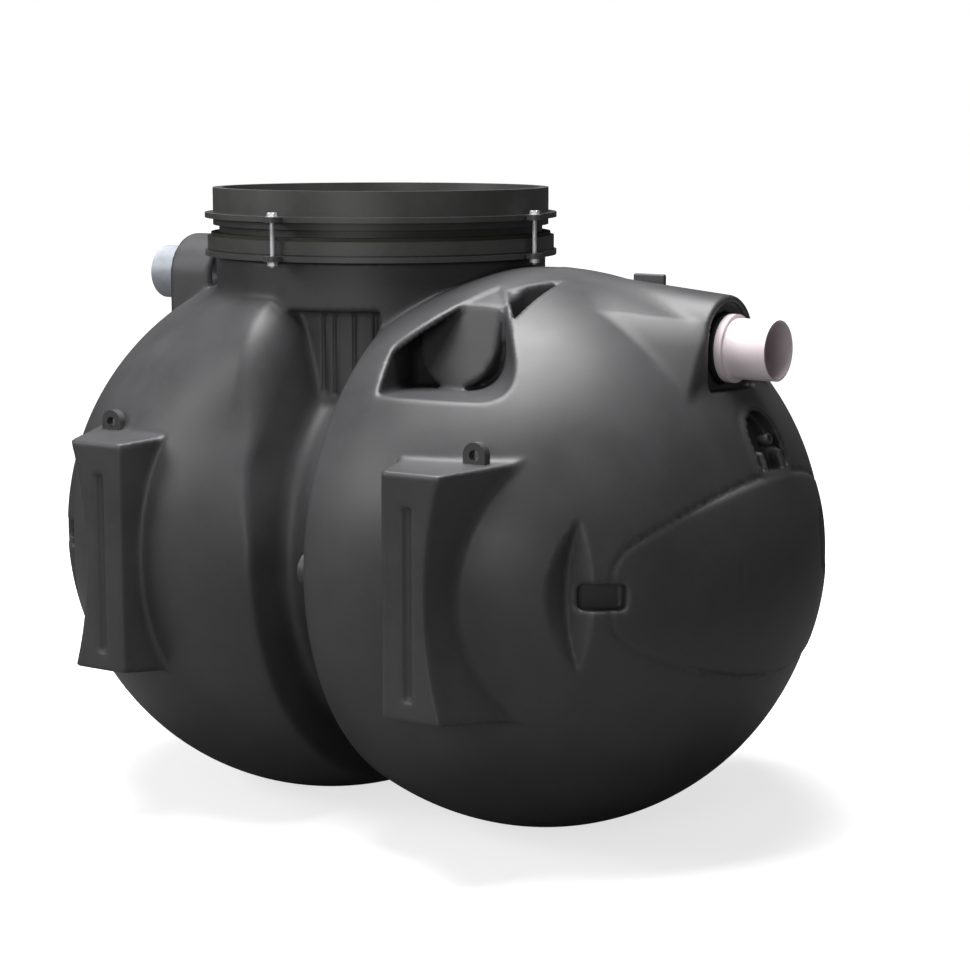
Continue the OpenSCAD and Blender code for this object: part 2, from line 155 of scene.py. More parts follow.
tankPlastic = makeMaterial("tankPlastic", (0.042, 0.042, 0.044), (0.060, 0.060, 0.063), 0.38, 0.52)
collarPlastic = makeMaterial("collarPlastic", (0.040, 0.040, 0.039), (0.062, 0.062, 0.060), 0.34, 0.48)
gasketRubber = makeMaterial("gasketRubber", (0.020, 0.021, 0.014), (0.036, 0.036, 0.024), 0.6, 0.75)
sealRubber = makeMaterial("sealRubber", (0.016, 0.016, 0.016), (0.028, 0.028, 0.028), 0.55, 0.7)
zincPlate = makeMaterial("zincPlate", (0.62, 0.63, 0.65), (0.82, 0.83, 0.85), 0.25, 0.4,
                         grainScale=2500.0, grainDepth=0.1, mottle=60.0, metallic=0.35)
palePipe = makeMaterial("palePipe", (0.78, 0.68, 0.71), (0.86, 0.77, 0.80), 0.3, 0.42, mottle=14.0)
greyPipe = makeMaterial("greyPipe", (0.24, 0.26, 0.29), (0.36, 0.38, 0.42), 0.3, 0.42, mottle=14.0)
report("materials ready")

# the moulded body is one blended solid

lowDome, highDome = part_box("outlet_end_dome")
lowWaist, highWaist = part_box("waist_band")
lowNeck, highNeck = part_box("manway_neck")
lowPad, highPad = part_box("outlet_front_pad")
lowBulge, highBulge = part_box("outlet_end_bulge")
lowPort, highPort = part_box("outlet_front_port_pad")
lowOutletArch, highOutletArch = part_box("outlet_pipe_housing")
lowInletArch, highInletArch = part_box("inlet_pipe_housing")
lowOutletPipe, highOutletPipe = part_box("outlet_pipe")
lowInletPipe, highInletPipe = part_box("inlet_pipe")

bodyShape = {
    "voxel": 0.007,
    "wall": 0.016,
    "lobeR": highDome.y,
    "midX": lowDome.x,
    "crownOff": 0.015,
    "shoulderOff": 0.021,
    "grooveHalf": highWaist.x,
    "waistR": highWaist.y,
    "axisZ": lowWaist.z + highWaist.y,
    "rimRound": 0.012,
    "rimSoft": 0.040,
    "rimLean": 0.27,
    "leanFrom": 0.400,
    "manwayX": (lowNeck.x + highNeck.x) / 2,
    "manwayR": 0.290,
    "neckR": highNeck.y,
    "neckTop": highNeck.z,
    "neckLow": 0.982,
    "boreR": 0.063,
    "boreFrom": 0.47,
    "throatGap": 0.008,
    "shaftRise": 0.20,
    "neckRise": 0.10,
    "outerDrop": 0.25,
    "gridReach": (0.83, 0.61),
    "gridLow": -0.02,
    "gridTall": 1.13,
    "neckFoot": 0.010,
    "shoulderRise": 0.054,
    "shoulderX": (-0.380, -0.140),
    "shoulderZ": (0.740, 0.985),
}


# how softly two forms run into each other
blend = {"hair": 0.003, "crisp": 0.004, "fine": 0.005, "edge": 0.006, "rounded": 0.008, "soft": 0.010,
         "easy": 0.012, "broad": 0.020, "wide": 0.030}


def smoothMin(a, b, k):
    h = np.maximum(k - np.abs(a - b), 0.0) / k
    return np.minimum(a, b) - h * h * k * 0.25


def smoothMax(a, b, k):
    return -smoothMin(-a, -b, k)


def lobeField(x, rho, s):
    out = np.abs(x) - s["midX"]
    crown = np.hypot(np.maximum(rho - s["crownOff"], 0.0), out) - (s["lobeR"] - s["crownOff"])
    shoulder = np.hypot(rho + s["shoulderOff"], out) - (s["lobeR"] + s["shoulderOff"])
    return np.where(out >= 0, crown, shoulder)


def grooveSide(x, rho, z, s):
    # the groove's side walls; the inlet one leans back and rounds off towards the neck
    lean = np.where(x < 0, s["rimLean"] * easeStep(z, s["axisZ"] + 0.02, s["axisZ"] + 0.20), 0.0)
    rise = easeStep(z, s["axisZ"] + 0.15, s["axisZ"] + 0.45)
    wall = s["grooveHalf"] + lean * np.maximum(rho - s["leanFrom"], 0.0) - np.abs(x)
    soft = np.where(x < 0, s["rimRound"] + s["rimSoft"] * rise, s["rimRound"])
    return wall / np.sqrt(1 + lean * lean), soft


def easeStep(value, low, high):
    t = np.clip((value - low) / (high - low), 0.0, 1.0)
    return t * t * (3.0 - 2.0 * t)


def shoulderLift(x, z, s):
    # how far the inlet chamber swells out towards the neck that rests on it
    along = np.clip((x - s["shoulderX"][0]) / (s["shoulderX"][1] - s["shoulderX"][0]), 0.0, 1.0)
    return np.where(x < 0, s["shoulderRise"] * along * easeStep(z, *s["shoulderZ"]), 0.0)


def neckField(x, y, z, s):
    radial = np.hypot(x - s["manwayX"], y)
    outer = smoothMax(radial - s["neckR"], z - s["neckTop"], blend["edge"])
    foot = np.where(x < s["grooveHalf"], s["neckLow"] - z, s["neckLow"] - s["outerDrop"] - z)
    outer = smoothMax(outer, foot, blend["edge"])
    throat = np.maximum(radial - s["manwayR"] - s["throatGap"], z - s["neckTop"])
    return np.maximum(smoothMin(outer, throat, blend["rounded"]), s["axisZ"] + s["neckRise"] - z)


padShape = {
    "faceIn": 0.301, "faceOut": 0.424, "edgeRound": 0.006, "foot": 0.010,
    "pinch": 0.034, "tiltOut": (0.30, 0.385), "tiltIn": (0.08, 0.30), "endSlope": 0.077,
    "channel": (0.0115, 0.012, 0.345, 0.685),
}


def padField(ax, ay, z, s, p):
    face = -lowPad.y
    behind = face - ay
    mid = (z - (lowPad.z + highPad.z) / 2) / (0.5 * (highPad.z - lowPad.z))
    ends = np.clip(mid * mid, 0.0, 1.0)
    tiltOut = p["tiltOut"][0] + (p["tiltOut"][1] - p["tiltOut"][0]) * ends
    tiltIn = p["tiltIn"][0] + (p["tiltIn"][1] - p["tiltIn"][0]) * ends
    outer = (ax - p["faceOut"] + p["pinch"] * (1.0 - ends) - tiltOut * behind) / np.sqrt(1 + tiltOut ** 2)
    inner = (p["faceIn"] - ax - tiltIn * behind) / np.sqrt(1 + tiltIn ** 2)
    top = z - highPad.z - p["endSlope"] * behind
    bottom = lowPad.z - p["endSlope"] * behind - z
    field = smoothMax(smoothMax(outer, inner, p["edgeRound"]), -behind, p["edgeRound"])
    field = smoothMax(field, smoothMax(top, bottom, p["edgeRound"]), p["edgeRound"])
    field = np.maximum(field, 0.40 - ay)
    middle = (p["faceIn"] + p["faceOut"]) / 2 - 0.008
    half, depth, low, high = p["channel"]
    deep = half * (1.0 - np.maximum(behind, 0.0) / depth)
    channel = smoothMax((np.abs(ax - middle) - deep) * 0.72, np.maximum(low - z, z - high), blend["edge"])
    return smoothMax(field, -channel, blend["hair"])


bulgeShape = {"edgeArc": 0.665, "faceArc": 0.462, "ledge": 0.008, "foot": 0.003,
              "seamHalf": 0.0045, "seamDepth": 0.0035, "dishR": 0.066, "dishDepth": 0.012,
              "dishAt": (0.185, 0.040), "dishFace": 0.752, "creaseY": -0.155}


def bulgeOutline(y, dz, b):
    halfW, halfH = highBulge.y, (highBulge.z - lowBulge.z) / 2
    above = np.hypot(y, dz + b["edgeArc"] - halfH) - b["edgeArc"]
    below = np.hypot(y, dz - b["edgeArc"] + halfH) - b["edgeArc"]
    return smoothMax(smoothMax(np.hypot(y, dz) - halfW, above, blend["wide"]), below, blend["wide"])


def bulgeField(field, ax, y, z, s, b):
    dz = z - s["axisZ"]
    outline = bulgeOutline(y, dz, b)
    centre = highBulge.x - b["faceArc"]
    face = np.sqrt((ax - centre) ** 2 + y ** 2 + dz ** 2) - b["faceArc"]
    bulge = smoothMax(smoothMax(outline, face, b["ledge"]), s["midX"] - ax, blend["soft"])
    field = smoothMin(field, bulge, b["foot"])
    # fine seam round the bulge, a short upright crease and a shallow dish at its far end
    seam = np.clip(1.0 - np.abs(outline - 0.002) / b["seamHalf"], 0.0, 1.0)
    crease = np.clip(1.0 - np.abs(np.abs(y) + b["creaseY"]) / 0.005, 0.0, 1.0)
    crease = crease * np.clip(1.0 - ((dz - 0.01) / 0.05) ** 2, 0.0, 1.0)
    field = field + np.where(ax > s["midX"] + 0.2, b["seamDepth"] * np.maximum(seam, crease), 0.0)
    dishY, dishZ = b["dishAt"]
    dish = np.maximum(np.hypot(y - dishY, dz - dishZ) - b["dishR"], b["dishFace"] - b["dishDepth"] - ax)
    return smoothMax(field, -dish, blend["edge"])


def flankField(lobe, arch, up, low, p):
    # sloping flank between the chamber and the housing's side, fading out towards its crown
    size = p["flare"] * np.clip((p["flareTop"] - up) / p["flareFade"], 0.0, 1.0)
    return np.maximum((lobe + arch - size) * 0.7071, low)


def archField(along, across, up, radius):
    return np.where(up > 0, np.hypot(across, up), np.abs(across)) - radius


housingShape = {"slope": math.radians(5.5), "mouth": 0.012, "lip": 0.012, "skirt": 0.19,
                "flare": 0.055, "flareTop": 0.095, "flareLow": 0.084, "flareFade": 0.045, "inletEnd": -0.512,
                "root": 0.03, "outletSill": 0.075, "inletSill": 0.070}


def outletHousingField(x, y, z, s, h):
    radius, faceX = highOutletArch.y, highOutletArch.x
    pipeZ = (lowOutletPipe.z + highOutletPipe.z) / 2
    ca, sa = math.cos(h["slope"]), math.sin(h["slope"])
    up = (x - faceX) * sa + (z - pipeZ) * ca
    field = smoothMax(archField(x, y, up, radius), x - faceX, blend["rounded"])
    field = smoothMax(field, s["midX"] + h["root"] - x, blend["soft"])
    field = np.maximum(field, -up - h["skirt"])
    mouth = np.maximum(archField(x, y, up, radius - h["lip"]), faceX - h["mouth"] - x)
    mouth = np.maximum(mouth, pipeZ - h["outletSill"] - z)
    lobe = lobeField(x, np.hypot(y, z - s["axisZ"]), s)
    flank = flankField(lobe, archField(x, y, up, radius), up, pipeZ - h["flareLow"] - z, h)
    flank = smoothMax(smoothMax(flank, x - faceX, blend["edge"]), s["midX"] + h["root"] - x, blend["soft"])
    return smoothMin(field, flank, blend["easy"]), mouth


def inletHousingField(x, y, z, s, h):
    radius, faceX = highInletArch.y, lowInletArch.x
    pipeZ = (lowInletPipe.z + highInletPipe.z) / 2
    field = smoothMax(archField(x, y, z - pipeZ, radius), faceX - x, blend["rounded"])
    field = smoothMax(field, x - h["inletEnd"], blend["edge"])
    field = np.maximum(field, pipeZ - h["skirt"] - z)
    mouth = np.maximum(archField(x, y, z - pipeZ, radius - h["lip"]), x - faceX - h["mouth"])
    mouth = np.maximum(mouth, pipeZ - h["inletSill"] - z)
    return field, mouth


pocketShape = {
    "side": 0.150, "sideLean": 0.30, "sideAt": 0.345,
    "clear": 0.340, "lip": 0.090, "lipDeep": 0.024,
    "floor": 0.849, "back": 0.105, "edge": 0.006, "corner": 0.075,
    "ribAt": (0.413, 0.337), "ribWay": (0.6517, 0.7586), "ribHalf": 0.011,
    "wedgeX": 0.356, "wedgeAt": (0.294, 0.186), "wedgeWay": (0.821, 0.571), "wedgeFloor": 0.955,
    "sideSteep": 0.958, "clearSteep": 0.8, "portSteep": 0.922,
    "portOut": 0.266, "portLean": 0.24, "portDrop": 0.012,
}


def pocketField(x, ay, z, lobe, s, p):
    radial = np.hypot(x - s["manwayX"], ay)
    clear = p["clear"] + p["lip"] * np.clip((lobe + p["lipDeep"]) / 0.012, 0.0, 1.0)
    ribX, ribY = p["ribAt"]
    wayX, wayY = p["ribWay"]
    side = (x - ribX) * wayY - (ay - ribY) * wayX
    inner = (p["side"] + p["sideLean"] * (ay - p["sideAt"]) - x) * p["sideSteep"]
    main = smoothMax(inner, (clear - radial) * p["clearSteep"], blend["soft"])
    main = smoothMax(main, p["back"] - ay, blend["soft"])
    main = smoothMax(main, smoothMax(side, p["floor"] - z, p["corner"]), blend["rounded"])
    # small three-sided recess behind the rib
    wedgeX, wedgeY = p["wedgeAt"]
    alongX, alongY = p["wedgeWay"]
    cut = -(x - wedgeX) * alongX - (ay - wedgeY) * alongY
    wedge = smoothMax(smoothMax(p["ribHalf"] - side, x - p["wedgeX"], blend["crisp"]), cut, blend["crisp"])
    wedge = smoothMax(wedge, p["wedgeFloor"] - z, blend["rounded"])
    return np.minimum(main, wedge)


def portField(x, ay, z, p):
    middle, half = (lowPort.x + highPort.x) / 2, (highPort.x - lowPort.x) / 2
    centreZ = lowPort.z + half - p["portDrop"]
    across, up = x - middle, z - centreZ
    section = np.where(up < 0, np.hypot(across, up), np.abs(across)) - half
    face = (ay - p["portOut"] + p["portLean"] * (z - lowPort.z)) * p["portSteep"]
    field = smoothMax(section, face, blend["fine"])
    return np.maximum(field, p["back"] - 0.05 - ay)


slotShape = {"length": 0.080, "height": 0.046, "depth": 0.034, "turn": math.radians(45.0),
             "atX": 0.6277, "atY": 0.3827}
leafShape = {"depth": 0.032, "height": 0.137, "tip": -0.040, "left": -0.060, "valley": -0.019,
             "right": 0.022}


archRecess = {"radius": 0.052, "mid": 0.765, "low": 0.712, "rim": 0.010, "rise": 0.007, "depth": 0.024,
              "ribY": 0.034, "ribHalf": 0.005, "ribTop": 0.750}


def recessField(field, lobe, x, y, z, p):
    up = z - p["mid"]
    section = np.where(up > 0, np.hypot(y, up), np.abs(y))
    foot = p["low"] - z
    rim = smoothMax(section - p["radius"] - p["rim"], foot - p["rim"], blend["broad"])
    rim = smoothMax(rim, lobe - p["rise"], blend["edge"])
    field = smoothMin(field, np.where(x > 0.5, rim, 1.0), blend["rounded"])
    cut = smoothMax(section - p["radius"], foot, blend["broad"])
    cut = smoothMax(cut, -lobe - p["depth"], blend["rounded"])
    rib = np.maximum(np.abs(np.abs(y) - p["ribY"]) - p["ribHalf"], z - p["ribTop"])
    cut = smoothMax(cut, -rib, blend["fine"])
    return smoothMax(field, -np.where(x > 0.5, cut, 1.0), blend["fine"])


def flankPlaces(ax, ay, p):
    # places along and out from the slanting flank that the strap slot sits in
    ca, sa = math.cos(p["turn"]), math.sin(p["turn"])
    along = (ax - p["atX"]) * sa - (ay - p["atY"]) * ca
    return along, (ax - p["atX"]) * ca + (ay - p["atY"]) * sa


def leafDip(along, out, dz, p):
    # leaf-shaped scoop beside the slot, deepest along its valley
    tall = np.clip(1.0 - (dz / p["height"]) ** 2, 0.0, 1.0)
    left, valley, right = [p["tip"] + p[side] * tall for side in ("left", "valley", "right")]
    slopeUp = (along - left) / np.maximum(valley - left, 1e-4)
    slopeDown = (right - along) / np.maximum(right - valley, 1e-4)
    dip = np.clip(np.minimum(slopeUp, slopeDown), 0.0, 1.0) * tall
    return np.where(out > -0.12, p["depth"] * dip, 0.0)


def slotCut(along, out, dz, p):
    slot = smoothMax(np.abs(along) - p["length"] / 2, np.abs(dz) - p["height"] / 2, blend["soft"])
    return np.maximum(slot, -p["depth"] - out)


def bodyField(x, y, z, s):
    ax, ay = np.abs(x), np.abs(y)
    rho = np.hypot(y, z - s["axisZ"])
    field = lobeField(x, rho, s)
    lifted = smoothMax(field - shoulderLift(x, z, s), z - s["neckLow"] - 0.022, blend["soft"])
    field = np.where(x < 0, smoothMin(field, lifted, blend["crisp"]), field)
    wall, soft = grooveSide(x, rho, z, s)
    field = smoothMax(field, wall, soft)
    waist = smoothMax(rho - s["waistR"], ax - s["midX"], blend["broad"])
    field = smoothMin(field, waist, blend["wide"])
    field = smoothMin(field, neckField(x, y, z, s), s["neckFoot"])
    chamber = field
    field = smoothMin(field, padField(ax, ay, z, s, padShape), padShape["foot"])
    field = bulgeField(field, ax, y, z, s, bulgeShape)
    outletArch, outletMouth = outletHousingField(x, y, z, s, housingShape)
    inletArch, inletMouth = inletHousingField(x, y, z, s, housingShape)
    lobe = lobeField(x, rho, s)
    field = recessField(field, lobe, x, y, z, archRecess)
    field = smoothMin(field, outletArch, blend["rounded"])
    field = smoothMin(field, inletArch, blend["easy"])
    field = smoothMax(field, -pocketField(x, ay, z, lobe, s, pocketShape), pocketShape["edge"])
    port = np.where(x > 0, portField(x, ay, z, pocketShape), 1.0)
    port = smoothMax(port, lobe + 0.004, blend["edge"])
    field = smoothMin(field, port, blend["edge"])
    along, out = flankPlaces(ax, ay, slotShape)
    field = field + leafDip(along, out, z - s["axisZ"], leafShape)
    field = smoothMax(field, -slotCut(along, out, z - s["axisZ"], slotShape), blend["edge"])
    field = smoothMax(field, -np.maximum(outletMouth, -(x - 0.5)), blend["fine"])
    field = smoothMax(field, -np.maximum(inletMouth, x + 0.5), blend["fine"])
    return smoothMax(field, -z, blend["rounded"]), chamber


def surfaceNet(field, origin, step):
    # closed quad mesh of the field's zero surface, one vertex a cell
    inside = field < 0
    n = np.array(field.shape) - 1
    corners = [(i, j, k) for i in (0, 1) for j in (0, 1) for k in (0, 1)]
    count = np.zeros(n, np.int8)
    for i, j, k in corners:
        count += inside[i:n[0] + i, j:n[1] + j, k:n[2] + k]
    cells = np.argwhere((count > 0) & (count < 8))
    index = np.full(n, -1, np.int32)
    index[cells[:, 0], cells[:, 1], cells[:, 2]] = np.arange(len(cells))
    values = np.stack([field[cells[:, 0] + i, cells[:, 1] + j, cells[:, 2] + k] for i, j, k in corners], 1)
    total = np.zeros((len(cells), 3), np.float64)
    hits = np.zeros(len(cells), np.float64)
    spots = np.array(corners, np.float64)
    for a in range(8):
        for b in range(a + 1, 8):
            if np.abs(spots[a] - spots[b]).sum() != 1:
                continue
            va, vb = values[:, a], values[:, b]
            cross = (va < 0) != (vb < 0)
            t = np.where(cross, va / np.where(cross, va - vb, 1.0), 0.0)
            point = spots[a] + t[:, None] * (spots[b] - spots[a])
            total += np.where(cross[:, None], point, 0.0)
            hits += cross
    verts = (cells + total / hits[:, None]) * step + np.array(origin)
    quads = []
    for axis in range(3):
        u, v = (axis + 1) % 3, (axis + 2) % 3
        a = np.moveaxis(inside, (axis, u, v), (0, 1, 2))
        idx = np.moveaxis(index, (axis, u, v), (0, 1, 2))
        low, high = a[:-1, 1:-1, 1:-1], a[1:, 1:-1, 1:-1]
        for flip, where in ((False, low & ~high), (True, ~low & high)):
            p = np.argwhere(where)
            i, j, k = p[:, 0], p[:, 1], p[:, 2]
            ring = [idx[i, j, k], idx[i, j + 1, k], idx[i, j + 1, k + 1], idx[i, j, k + 1]]
            quads.append(np.stack(ring[::-1] if flip else ring, 1))
    return verts, np.concatenate(quads)


def meshFrom(name, verts, quads):
    mesh = bpy.data.meshes.new(name)
    mesh.vertices.add(len(verts))
    mesh.vertices.foreach_set("co", np.asarray(verts, np.float32).ravel())
    mesh.loops.add(quads.size)
    mesh.loops.foreach_set("vertex_index", quads.ravel().astype(np.int32))
    mesh.polygons.add(len(quads))
    mesh.polygons.foreach_set("loop_start", np.arange(0, quads.size, 4, dtype=np.int32))
    mesh.polygons.foreach_set("use_smooth", np.ones(len(quads), bool))
    mesh.update(calc_edges=True)
    return mesh


def thinSkin(piece, keep):
    # fewer faces on the inner skin, which shows only through the manway
    mark = piece.data.attributes["innerSide"]
    values = np.zeros(len(piece.data.vertices), np.float32)
    mark.data.foreach_get("value", values)
    group = piece.vertex_groups.new(name="innerSide")
    group.add(np.flatnonzero(values > 0.5).tolist(), 1.0, "REPLACE")
    thin = piece.modifiers.new("thinInside", "DECIMATE")
    thin.vertex_group = group.name
    thin.ratio = 1.0 - (1.0 - keep) * float((values > 0.5).mean())
    bakeModifiers(piece)
    piece.vertex_groups.clear()
    piece.data.attributes.remove(piece.data.attributes["innerSide"])


def triangleCount(piece):
    return sum(len(p.vertices) - 2 for p in piece.data.polygons)


def tankField(x, y, z, s):
    # the skin made hollow inside the plain chambers, with the open manway and the two pipe bores
    skin, chamber = bodyField(x, y, z, s)
    shaft = np.maximum(np.hypot(x - s["manwayX"], y) - s["manwayR"], s["axisZ"] + s["shaftRise"] - z)
    field = np.maximum(skin, -(np.maximum(skin, chamber) + s["wall"]))
    field = smoothMax(field, -shaft, blend["crisp"])
    for box, side in (((lowOutletPipe, highOutletPipe), 1), ((lowInletPipe, highInletPipe), -1)):
        bore = np.hypot(y, z - (box[0].z + box[1].z) / 2) - s["boreR"]
        field = np.maximum(field, -np.maximum(bore, s["boreFrom"] - side * x))
    return field, skin


def settle(verts, s, rounds=2):
    # moves each vertex along the field's slope onto the exact surface
    nudge, limit = 0.0008, 0.6 * s["voxel"]
    spots = verts.copy()
    for _ in range(rounds):
        x, y, z = spots.T
        here = tankField(x, y, z, s)[0]
        slope = np.stack([tankField(x + nudge, y, z, s)[0], tankField(x, y + nudge, z, s)[0],
                          tankField(x, y, z + nudge, s)[0]], 1)
        slope = (slope - here[:, None]) / nudge
        size = np.maximum((slope ** 2).sum(1), 0.2)
        spots = spots - slope * np.clip(here / size, -limit, limit)[:, None]
    return spots


def makeBody(s):
    step = s["voxel"]
    cells = [math.ceil(reach / step) for reach in s["gridReach"]]
    low = np.array([-cells[0] * step, -cells[1] * step, s["gridLow"]])
    size = [2 * cells[0] + 1, 2 * cells[1] + 1, math.ceil(s["gridTall"] / step)]
    x, y, z = [(low[i] + step * np.arange(size[i])).astype(np.float32) for i in range(3)]
    x, y, z = np.meshgrid(x, y, z, indexing="ij")
    field = tankField(x, y, z, s)[0]
    report("body field")
    verts, quads = surfaceNet(field, low, step)
    report(f"surface of {len(quads)} faces")
    verts = settle(verts, s)
    x, y, z = verts.T
    inner = tankField(x, y, z, s)[1] < -0.6 * s["wall"]
    return verts, quads, inner


verts, quads, innerSide = makeBody(bodyShape)
bodyMesh = meshFrom("tankBody", verts, quads)
bodyMesh.attributes.new("innerSide", "FLOAT", "POINT").data.foreach_set("value", innerSide.astype(np.float32))
report("mesh")


def placePiece(mesh, name):
    piece = bpy.data.objects.new(name, mesh)
    bpy.context.scene.collection.objects.link(piece)
    return piece


def bakeModifiers(piece):
    graph = bpy.context.evaluated_depsgraph_get()
    baked = bpy.data.meshes.new_from_object(piece.evaluated_get(graph), depsgraph=graph)
    piece.modifiers.clear()
    piece.data = baked


def halfBody(mesh, side, name):
    work = bmesh.new()
    work.from_mesh(mesh)
    geometry = work.verts[:] + work.edges[:] + work.faces[:]
    cut = bmesh.ops.bisect_plane(work, geom=geometry, plane_co=(0, 0, 0), plane_no=(side, 0, 0),
                                 clear_inner=True)
    edges = [e for e in cut["geom_cut"] if isinstance(e, bmesh.types.BMEdge)]
    filled = bmesh.ops.triangle_fill(work, edges=edges, use_beauty=True)
    for face in [f for f in filled["geom"] if isinstance(f, bmesh.types.BMFace)]:
        face.smooth = False
    for edge in edges:
        if edge.is_valid:
            edge.smooth = False
    half = bpy.data.meshes.new(name)
    work.to_mesh(half)
    work.free()
    half.materials.append(tankPlastic)
    return placePiece(half, name)


inletBody = halfBody(bodyMesh, -1, "inletBody")
outletBody = halfBody(bodyMesh, 1, "outletBody")
for piece in (inletBody, outletBody):
    thinSkin(piece, 0.05)
    report(f"{piece.name} with {triangleCount(piece)} triangles")
replaced = {
    "inletBody": ["inlet_chamber_shell", "inlet_end_dome", "inlet_shoulder", "inlet_pipe_housing",
                  "inlet_front_pad", "inlet_rear_pad", "inlet_end_bulge", "waist_band"],
    "outletBody": ["outlet_chamber_shell", "outlet_end_dome", "manway_neck", "outlet_pipe_housing",
                   "outlet_front_pad", "outlet_rear_pad", "outlet_end_bulge",
                   "outlet_front_port_pad", "outlet_rear_port_pad"],
}

# small upright plate on top, behind the outlet housing's root
topTab = {"low": (0.382, 0.112, 1.000), "high": (0.451, 0.122, 1.047), "round": 0.004}


def makeBlock(name, low, high, soft, material):
    work = bmesh.new()
    bmesh.ops.create_cube(work, size=1.0)
    for vert in work.verts:
        vert.co = [low[i] if vert.co[i] < 0 else high[i] for i in range(3)]
    bmesh.ops.bevel(work, geom=work.edges[:], offset=soft, segments=3, affect="EDGES", profile=0.5)
    mesh = bpy.data.meshes.new(name)
    work.to_mesh(mesh)
    work.free()
    mesh.materials.append(material)
    for face in mesh.polygons:
        face.use_smooth = True
    return placePiece(mesh, name)


tabPiece = makeBlock("outletTopTab", topTab["low"], topTab["high"], topTab["round"], tankPlastic)
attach(tabPiece, "root")

# plain ring boss that stands in the arched recess
endRing = {"at": (0.7290, 0.0, 0.7660), "outer": 0.0105, "inner": 0.0050, "reach": 0.022, "lean": 0.30}


def lathe(name, outline, material, at, turn, steps=48):
    # spins a closed list of (radius, height) round an axis
    mesh = bpy.data.meshes.new(name)
    verts, faces, n = [], [], len(outline)
    for i in range(steps):
        angle = 2 * math.pi * i / steps
        for radius, height in outline:
            spot = Vector((radius * math.cos(angle), radius * math.sin(angle), height))
            verts.append(turn @ spot + Vector(at))
    for i in range(steps):
        for j in range(n):
            a, b = i * n + j, i * n + (j + 1) % n
            c, d = (i + 1) % steps * n + (j + 1) % n, (i + 1) % steps * n + j
            faces.append((a, d, c, b))
    mesh.from_pydata(verts, [], faces)
    mesh.materials.append(material)
    for face in mesh.polygons:
        face.use_smooth = True
    work = bmesh.new()
    work.from_mesh(mesh)
    bmesh.ops.recalc_face_normals(work, faces=work.faces)
    work.to_mesh(mesh)
    work.free()
    return placePiece(mesh, name)


def makeEndRing(s):
    turn = Vector((math.cos(s["lean"]), 0, math.sin(s["lean"]))).to_track_quat("Z", "Y").to_matrix()
    half, soft = s["reach"] / 2, 0.0015
    outline = [(s["inner"], -half), (s["outer"], -half), (s["outer"], half - soft),
               (s["outer"] - soft, half), (s["inner"] + soft, half), (s["inner"], half - soft)]
    piece = lathe("outletEndRing", outline, tankPlastic, at=s["at"], turn=turn)
    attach(piece, "root")


makeEndRing(endRing)

# tie rods round the collar: one rod, set round the manway by geometry nodes
lowBolt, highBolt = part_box("tie_rod_bolts")
lowNut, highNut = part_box("tie_rod_nuts")
tieRod = {"count": 4, "ring": 0.354, "firstAngle": math.radians(2.0), "shaft": 0.004, "flats": 0.0082,
          "washer": 0.0092, "washerThick": 0.0016, "headTall": 0.008, "chamfer": 0.0012,
          "thread": 0.00035, "pitch": 0.0016, "threadTall": 0.024, "hexSteps": 48, "shaftSteps": 24}


def ringOf(work, steps, radius, z):
    turns = [2 * math.pi * i / steps for i in range(steps)]
    return [work.verts.new((radius * math.cos(turn), radius * math.sin(turn), z)) for turn in turns]


def joinRings(work, rings, others):
    for a, b in zip(rings, others):
        for i in range(len(a)):
            j = (i + 1) % len(a)
            work.faces.new((a[i], a[j], b[j], b[i]))


def hexSolid(work, low, high, flats, chamfer, bore, steps):
    # a hexagon with chamfered corners round a bore
    rings = []
    for z, cap in ((low, flats * 1.02), (low + chamfer, 1.0), (high - chamfer, 1.0), (high, flats * 1.02)):
        ring = []
        for i in range(steps):
            angle = 2 * math.pi * i / steps
            radius = flats / math.cos((angle + math.pi / 6) % (math.pi / 3) - math.pi / 6)
            radius = min(radius, cap)
            ring.append(work.verts.new((radius * math.cos(angle), radius * math.sin(angle), z)))
        rings.append(ring)
    rings += [ringOf(work, steps, bore, z) for z in (high, low)]
    joinRings(work, rings, rings[1:] + rings[:1])


def shaftSolid(work, low, high, s):
    # round shaft with a rolled thread on its lower end
    heights = [low, low + 0.001]
    z = low + 0.001
    while z < low + s["threadTall"]:
        z += s["pitch"] / 2
        heights.append(z)
    heights += [z + 0.0006, high]
    radii = [s["shaft"] - 0.001] + [s["shaft"] - s["thread"] * (k % 2) for k in range(len(heights) - 3)]
    radii += [s["shaft"], s["shaft"]]
    rings = [ringOf(work, s["shaftSteps"], r, h) for r, h in zip(radii, heights)]
    joinRings(work, rings, rings[1:])
    work.faces.new(rings[0][::-1])
    work.faces.new(rings[-1])


